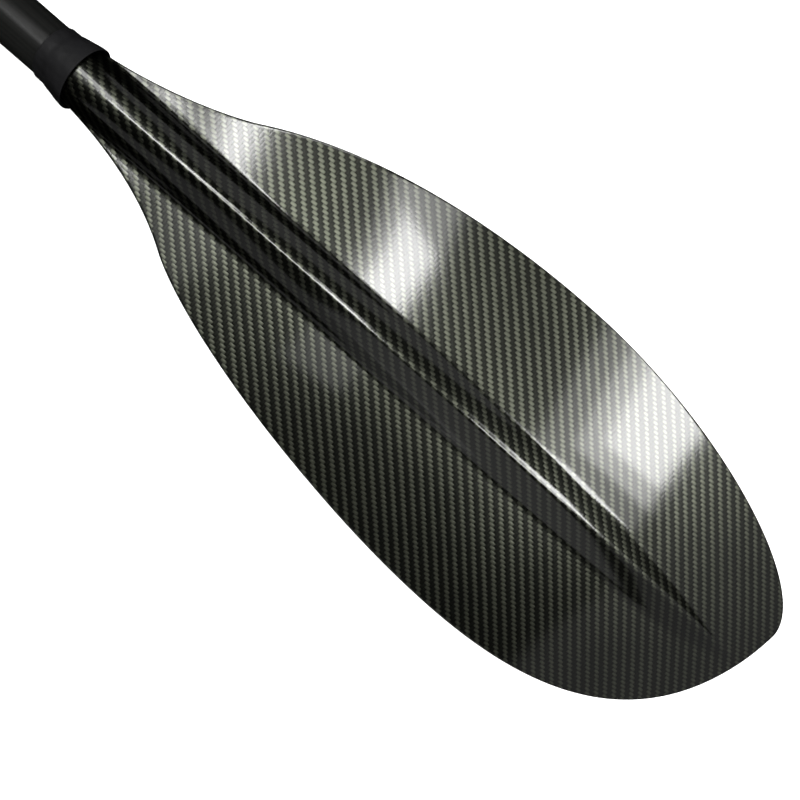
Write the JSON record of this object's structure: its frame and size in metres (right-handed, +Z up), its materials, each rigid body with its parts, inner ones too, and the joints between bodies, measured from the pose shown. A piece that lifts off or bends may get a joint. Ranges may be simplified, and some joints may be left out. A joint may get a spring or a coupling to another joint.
{
  "type": "kayak paddle",
  "caption": "Two-bladed touring kayak paddle with spooned, ribbed carbon-look blades and a lever-clamped centre joint that sets feather and length.",
  "frame": {"origin": "on the floor under the middle of the shaft, with the paddle resting on its blade tips, power faces down", "axes": "+X along the shaft to the blade whose half carries the clamp collar, +Y towards the blades' long edges, +Z up, the way the ribbed backs face"},
  "size_m": [2.0998, 0.1871, 0.0668],
  "materials": {
    "carbon_gloss": "gloss",
    "carbon_satin": "satin",
    "carbon_ferrule": "satin",
    "shrink_sleeve": "satin",
    "foam": "matte",
    "soft_rubber": "matte",
    "nylon": "satin",
    "ring_nylon": "satin",
    "steel": "satin",
    "brass": "satin"
  },
  "bodies": {
    "right_half": {"right_blade_back": "carbon_gloss", "right_blade_face": "carbon_gloss", "right_blade_core": "foam", "right_neck_spigot": "carbon_satin", "right_joint_sleeve": "shrink_sleeve", "right_shaft": "carbon_satin", "right_bulkhead": "foam", "clamp_collar": "nylon", "tension_screw": "steel", "tension_nut": "steel", "nut_washer": "steel", "cam_washer": "brass"},
    "clamp_lever": {"clamp_lever": "nylon", "lever_pin": "steel", "lever_pad": "soft_rubber"},
    "feather_ring": {"feather_ring": "ring_nylon", "wiper_seal": "soft_rubber"},
    "left_half": {"left_blade_back": "carbon_gloss", "left_blade_face": "carbon_gloss", "left_blade_core": "foam", "left_neck_spigot": "carbon_satin", "left_joint_sleeve": "shrink_sleeve", "left_shaft": "carbon_satin", "left_bulkhead": "foam", "male_ferrule": "carbon_ferrule", "ferrule_plug": "nylon", "end_collar": "nylon"},
    "right_drip_ring": {"right_drip_ring": "soft_rubber"},
    "left_drip_ring": {"left_drip_ring": "soft_rubber"}
  },
  "joints": [
    {"name": "lever_swing", "type": "hinge", "parent": "right_half", "child": "clamp_lever", "pos_m": [0.024, -0.026, 0.054], "axis": [1, 0, 0], "range_deg": [0, 135]},
    {"name": "feather_turn", "type": "hinge", "parent": "right_half", "child": "feather_ring", "pos_m": [0, 0, 0.04], "axis": [1, 0, 0], "range_deg": [-90, 90]},
    {"name": "length_slide", "type": "slide", "parent": "feather_ring", "child": "left_half", "axis": [-1, 0, 0], "range_m": [0, 0.1]},
    {"name": "right_drip_slide", "type": "slide", "parent": "right_half", "child": "right_drip_ring", "axis": [1, 0, 0], "range_m": [-0.1, 0.1]},
    {"name": "left_drip_slide", "type": "slide", "parent": "left_half", "child": "left_drip_ring", "axis": [-1, 0, 0], "range_m": [-0.1, 0.1]}
  ]
}
